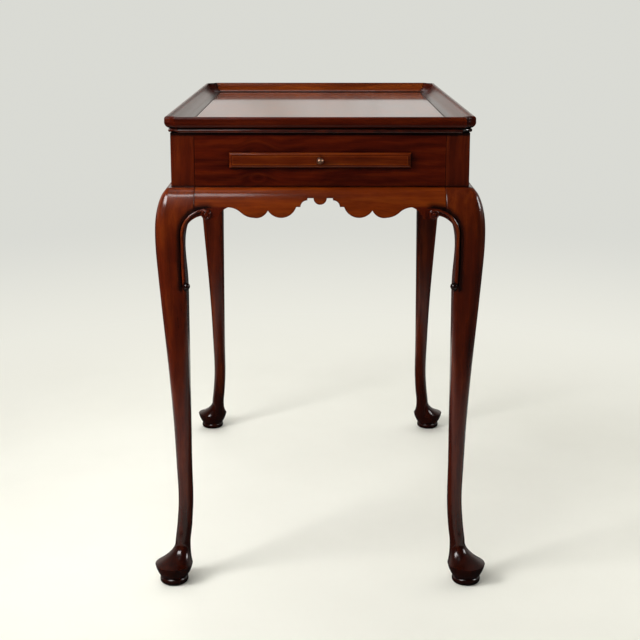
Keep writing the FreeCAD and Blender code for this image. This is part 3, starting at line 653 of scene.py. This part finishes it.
def scrollTree():
    tree = bpy.data.node_groups.new("scrollTree", "GeometryNodeTree")
    tree.interface.new_socket("Geometry", in_out="INPUT", socket_type="NodeSocketGeometry")
    for name in ("Outer", "Inner", "Turns", "Strand", "Taper"):
        tree.interface.new_socket(name, in_out="INPUT", socket_type="NodeSocketFloat")
    tree.interface.new_socket("Wood", in_out="INPUT", socket_type="NodeSocketMaterial")
    tree.interface.new_socket("Geometry", in_out="OUTPUT", socket_type="NodeSocketGeometry")
    given = tree.nodes.new("NodeGroupInput").outputs
    result = tree.nodes.new("NodeGroupOutput").inputs

    steps, sides = carvedScroll["steps"], carvedScroll["sides"]
    spiral = addNode(tree, "GeometryNodeCurveSpiral", Resolution=steps, Height=0.0, Reverse=True)
    tree.links.new(given["Turns"], spiral.inputs["Rotations"])
    tree.links.new(given["Outer"], spiral.inputs["Start Radius"])
    tree.links.new(given["Inner"], spiral.inputs["End Radius"])
    upright = addNode(tree, "GeometryNodeTransform", Rotation=(0, 0, math.pi / 2))  # starts at the top
    tree.links.new(spiral.outputs[0], upright.inputs["Geometry"])
    along = tree.nodes.new("GeometryNodeSplineParameter").outputs["Factor"]
    thin = tree.nodes.new("ShaderNodeMapRange")
    tree.links.new(along, thin.inputs["Value"])
    thin.inputs["To Min"].default_value = 1.0
    tree.links.new(given["Taper"], thin.inputs["To Max"])
    profile = addNode(tree, "GeometryNodeCurvePrimitiveCircle", Resolution=sides)
    tree.links.new(given["Strand"], profile.inputs["Radius"])
    strand = tree.nodes.new("GeometryNodeCurveToMesh")
    tree.links.new(upright.outputs[0], strand.inputs["Curve"])
    tree.links.new(profile.outputs["Curve"], strand.inputs["Profile Curve"])
    tree.links.new(thin.outputs["Result"], strand.inputs["Scale"])
    strand.inputs["Fill Caps"].default_value = True

    spots = tree.nodes.new("GeometryNodeMeshToPoints")
    tree.links.new(given["Geometry"], spots.inputs["Mesh"])
    placed = tree.nodes.new("GeometryNodeInstanceOnPoints")
    tree.links.new(spots.outputs[0], placed.inputs["Points"])
    tree.links.new(strand.outputs[0], placed.inputs["Instance"])
    for name, socket in (("facing", "Rotation"), ("hand", "Scale")):
        read = addNode(tree, "GeometryNodeInputNamedAttribute", data_type="FLOAT_VECTOR", Name=name)
        tree.links.new(read.outputs["Attribute"], placed.inputs[socket])
    whole = tree.nodes.new("GeometryNodeRealizeInstances")
    tree.links.new(placed.outputs[0], whole.inputs[0])
    smooth = tree.nodes.new("GeometryNodeSetShadeSmooth")
    tree.links.new(whole.outputs[0], smooth.inputs[0])
    coloured = tree.nodes.new("GeometryNodeSetMaterial")
    tree.links.new(smooth.outputs[0], coloured.inputs["Geometry"])
    tree.links.new(given["Wood"], coloured.inputs["Material"])
    tree.links.new(coloured.outputs[0], result[0])
    return tree


def meshFromNodes(name, seed, tree, values):
    maker = bpy.data.objects.new(name + "Maker", seed)
    scene.collection.objects.link(maker)
    modifier = maker.modifiers.new(name, "NODES")
    modifier.node_group = tree
    for item in tree.interface.items_tree:
        if item.in_out == "INPUT" and item.name in values:
            modifier[item.identifier] = values[item.name]
    graph = bpy.context.evaluated_depsgraph_get()
    mesh = bpy.data.meshes.new_from_object(maker.evaluated_get(graph))
    maker.modifiers.remove(modifier)
    bpy.data.objects.remove(maker)
    form = bmesh.new()
    form.from_mesh(mesh)
    bmesh.ops.recalc_face_normals(form, faces=form.faces)  # mirrored scrolls come out inside out
    form.to_mesh(mesh)
    form.free()
    mesh.name = name
    return mesh


def carveScrolls():
    spots, facing, hand = [], [], []
    height = friezeFoot - carvedScroll["drop"]
    for axis, other, turns in (("X", "Y", (0, 180)), ("Y", "X", (90, 270))):
        across = postJoint[axis] - carvedScroll["setting"]
        face = friezeFace[other] + carvedScroll["proud"]
        for turn in turns:
            spin = math.radians(turn)
            for side in (-1, 1):  # left and right as seen from outside
                spots.append(Matrix.Rotation(spin, 3, "Z") @ Vector((side * across, -face, height)))
                facing.append((math.pi / 2, 0, spin))
                hand.append((-side, 1, 1))
    seed = bpy.data.meshes.new("scrollSpots")
    seed.from_pydata(spots, [], [])
    for name, rows in (("facing", facing), ("hand", hand)):
        field = seed.attributes.new(name, "FLOAT_VECTOR", "POINT")
        field.data.foreach_set("vector", [value for row in rows for value in row])
    values = {**carvedScroll, "Wood": finishes["bracketWood"]}
    mesh = meshFromNodes("volute_scrolls", seed, scrollTree(), values)
    scrolls = bpy.data.objects.new("volute_scrolls", mesh)
    scene.collection.objects.link(scrolls)
    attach(scrolls, "table")
    print("scrolls carved:", len(spots), "volutes,", len(mesh.polygons), "faces")


carveScrolls()


# a dark strip laid in the joint between the tray board and its rim: painted shade where the gap and quirk lie
# in shadow

shadowLine = {
    "inset": 0.0002,  # its middle line from the foot of the rim
    "reach": {"X": 0.170, "Y": 0.300},  # half lengths of its straight runs
    "width": 0.0011,
    "proud": 0.00012,
    "sunk": 0.0004,
}


def layTrayJointShadow():
    form = bmesh.new()
    half = shadowLine["width"] / 2
    low, high = trayLevel - shadowLine["sunk"], trayLevel + shadowLine["proud"]
    profile = [(-half, low), (-half, trayLevel), (0, high), (half, trayLevel), (half, low)]
    runs = [(way, other, side) for way, other in (("Y", "X"), ("X", "Y")) for side in (-1, 1)]
    for way, other, side in runs:
        place = side * (rimFoot[other] - shadowLine["inset"])
        ends = []
        for stop in (-shadowLine["reach"][way], shadowLine["reach"][way]):
            spots = [(stop, place + u, z) if way == "X" else (place + u, stop, z) for u, z in profile]
            ends.append([form.verts.new(spot) for spot in spots])
        for number in range(len(profile)):
            after = (number + 1) % len(profile)
            form.faces.new([ends[0][number], ends[0][after], ends[1][after], ends[1][number]])
        form.faces.new(ends[0])
        form.faces.new(ends[1][::-1])
    bmesh.ops.recalc_face_normals(form, faces=form.faces)
    mesh = bpy.data.meshes.new("tray_joint_shadow")
    form.to_mesh(mesh)
    form.free()
    mesh.materials.append(finishes["jointShadow"])
    line = bpy.data.objects.new("tray_joint_shadow", mesh)
    scene.collection.objects.link(line)
    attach(line, "table")
    print("tray joint filled:", len(runs), "runs")


layTrayJointShadow()


# floor, light and surroundings

paleFloor = {
    "reach": 150.0,
    "cloudScale": 3.0,
    "cloudDetail": 4.0,
    "tones": [(0.3, (0.86, 0.85, 0.77)), (0.7, (0.90, 0.89, 0.81))],
    "rough": 0.8,
    "bounce": (0.60, 0.60, 0.58),  # share of its light that it throws back at the wood
    "flagTone": (0.05, 0.05, 0.05),  # what the polish mirrors of it
    "ringTone": (0.58, 0.56, 0.52),  # and of a ring round the feet
    "ringStart": (0.5, 0.62),
    "ringEnd": (0.85, 1.1),
    "sweepTones": [(0.0, (0.87, 0.86, 0.775)), (1.0, (0.70, 0.705, 0.66))],  # past the shadow, and far off
    "sweepRise": (0.6, 2.8),
    "sweepStart": (0.5, 1.3),
}


def makeFloor():
    mesh = bpy.data.meshes.new("studioFloor")
    reach = paleFloor["reach"]
    corners = [(-reach, -reach, 0), (reach, -reach, 0), (reach, reach, 0), (-reach, reach, 0)]
    mesh.from_pydata(corners, [], [(0, 1, 2, 3)])
    floor = bpy.data.objects.new("studioFloor", mesh)
    scene.collection.objects.link(floor)

    material, tree, shader, coords = newMaterial("paleFloor")
    cloud = addNoise(tree, coords, paleFloor["cloudScale"], paleFloor["cloudDetail"]).outputs["Fac"]
    axes = splitAxes(tree, coords)
    away = pairLength(tree, axes["X"], axes["Y"])
    path = tree.nodes.new("ShaderNodeLightPath").outputs
    ringStart = smoothRise(tree, away, *paleFloor["ringStart"])
    ring = addMath(tree, "SUBTRACT", ringStart, smoothRise(tree, away, *paleFloor["ringEnd"]))
    mirrored = addMix(tree, "MIX", ring, paleFloor["flagTone"], paleFloor["ringTone"])
    tone = addMix(tree, "MIX", path["Is Glossy Ray"], addRamp(tree, cloud, paleFloor["tones"]), mirrored)
    tone = addMix(tree, "MULTIPLY", path["Is Diffuse Ray"], tone, paleFloor["bounce"])
    tree.links.new(tone, shader.inputs["Base Color"])
    shader.inputs["Roughness"].default_value = paleFloor["rough"]
    shader.inputs["Specular IOR Level"].default_value = 0.0

    sweep = tree.nodes.new("ShaderNodeEmission")
    sweepTone = addRamp(tree, smoothRise(tree, away, *paleFloor["sweepRise"]), paleFloor["sweepTones"])
    tree.links.new(sweepTone, sweep.inputs["Color"])
    merge = tree.nodes.new("ShaderNodeMixShader")
    share = addProduct(tree, path["Is Camera Ray"], smoothRise(tree, away, *paleFloor["sweepStart"]))
    tree.links.new(share, merge.inputs["Fac"])
    tree.links.new(shader.outputs[0], merge.inputs[1])
    tree.links.new(sweep.outputs[0], merge.inputs[2])
    tree.links.new(merge.outputs[0], tree.nodes["Material Output"].inputs["Surface"])
    mesh.materials.append(material)


leftKnee, rightKnee, frontEnd = (-0.2, -0.35, 0.56), (0.2, -0.35, 0.5), (0, -0.2, 0.6)  # what lamps aim at

lamps = {  # one without glint doesn't show in the polish, and one without fill shows only there
    "windowLamp": {
        "place": (-1.1, -0.85, 1.15), "aim": (0, -0.1, 0.45), "size": (0.6, 0.7),
        "watts": 4.9, "spread": 80, "glint": False,
    },
    "frontLamp": {"place": (-0.30, -1.35, 1.75), "aim": (0, -0.3, 0.5), "size": (0.25, 0.25), "watts": 1.9},
    "kneeLamp": {
        "place": (-0.60, -1.3, 1.4), "aim": leftKnee, "size": (0.45, 0.40), "watts": 2.8, "glint": False,
    },
    "kneeGlint": {
        "place": (-0.85, -1.25, 1.4), "aim": leftKnee, "size": (0.8, 0.5), "watts": 19.0, "fill": False,
    },
    "ceilingLamp": {
        "place": (0, -1.0, 2.4), "aim": frontEnd, "size": (2.4, 0.3), "watts": 2, "glint": False,
    },
    "ceilingGlint": {
        "place": (-0.3, -1.0, 2.4), "aim": frontEnd, "size": (0.4, 0.3), "watts": 0.5, "fill": False,
    },
    "stripGlint": {
        "place": (1.75, -0.5, 1.2), "aim": rightKnee, "size": (0.5, 0.6), "watts": 13.0, "fill": False,
    },
    "backLamp": {"place": (-0.5, 2.3, 2.9), "aim": (0, 0, 0.3), "size": (1.6, 0.8), "watts": 22},
}


def hangLamp(name, lamp):
    data = bpy.data.lights.new(name, "AREA")
    data.shape = "RECTANGLE"
    data.size, data.size_y = lamp["size"]
    data.energy = lamp["watts"]
    data.spread = math.radians(lamp.get("spread", 180))
    light = bpy.data.objects.new(name, data)
    light.location = lamp["place"]
    aim = Vector(lamp["aim"]) - Vector(lamp["place"])
    light.rotation_euler = aim.to_track_quat("-Z", "Y").to_euler()
    light.visible_camera = False
    light.visible_glossy = lamp.get("glint", True)
    light.visible_diffuse = lamp.get("fill", True)
    scene.collection.objects.link(light)


studioAir = {
    "low": (0.16, 0.16, 0.15),  # light of the room near the horizon and overhead
    "high": (1.0, 1.0, 0.97),
    "rise": (0.0, 0.8),
    "behind": (-0.1, 0.3),  # from in front of the table to behind it
    "dimRight": 0.18,  # share of the light that is left in front on the right hand side
    "dimRise": (-0.5, 0.5),
    "sideTone": (1.0, 1.0, 0.95),  # low down on the right, behind the table
    "sideRise": (0.1, 0.7),
    "sideTop": (0.25, 0.6),
    "mirrorTones": [(0.0, (0.03, 0.03, 0.03)), (1.0, (0.61, 0.59, 0.565))],  # in the polish: near, and beyond
    "mirrorRise": (-0.3, 0.6),
    "mirrorAbove": 0.35,
    "mirrorTop": (0.3, 0.7),
    "patchScale": 14.0,  # uneven light in the mirrored room
    "patchDetail": 3.0,
    "patchTones": [(0.36, (0.80, 0.75, 0.70)), (0.62, (1.10, 1.09, 1.08))],
    "backdrop": (0.70, 0.705, 0.66),
}


def makeSurroundings():
    world = bpy.data.worlds.new("studioAir")
    scene.world = world
    world.use_nodes = True
    tree = world.node_tree
    sky = tree.nodes.new("ShaderNodeTexCoord").outputs["Generated"]
    axes = splitAxes(tree, sky)

    rise = smoothRise(tree, axes["Z"], *studioAir["rise"])
    air = addRamp(tree, rise, [(0.0, studioAir["low"]), (1.0, studioAir["high"])])
    behind = smoothRise(tree, axes["Y"], *studioAir["behind"])
    dimmed = addProduct(tree, smoothRise(tree, axes["X"], *studioAir["dimRise"]), restOf(tree, behind))
    air = addMix(tree, "MULTIPLY", dimmed, air, threeOf(studioAir["dimRight"]))
    lowDown = restOf(tree, smoothRise(tree, axes["Z"], *studioAir["sideTop"]))
    lifted = addProduct(tree, smoothRise(tree, axes["X"], *studioAir["sideRise"]), behind, lowDown)
    air = addMix(tree, "MIX", lifted, air, studioAir["sideTone"])

    mirror = addRamp(tree, smoothRise(tree, axes["Y"], *studioAir["mirrorRise"]), studioAir["mirrorTones"])
    above = smoothRise(tree, axes["Z"], *studioAir["mirrorTop"])
    mirror = shadeBy(tree, mirror, above, [(0.0, untouched), (1.0, threeOf(studioAir["mirrorAbove"]))])
    patches = addNoise(tree, sky, studioAir["patchScale"], studioAir["patchDetail"]).outputs["Fac"]
    mirror = shadeBy(tree, mirror, patches, studioAir["patchTones"])

    path = tree.nodes.new("ShaderNodeLightPath").outputs
    tone = addMix(tree, "MIX", path["Is Glossy Ray"], air, mirror)
    tone = addMix(tree, "MIX", path["Is Camera Ray"], tone, studioAir["backdrop"])
    tree.links.new(tone, tree.nodes["Background"].inputs["Color"])


makeFloor()
for lampName, lamp in lamps.items():
    hangLamp(lampName, lamp)
makeSurroundings()
print("studio ready:", len(lamps), "lamps")
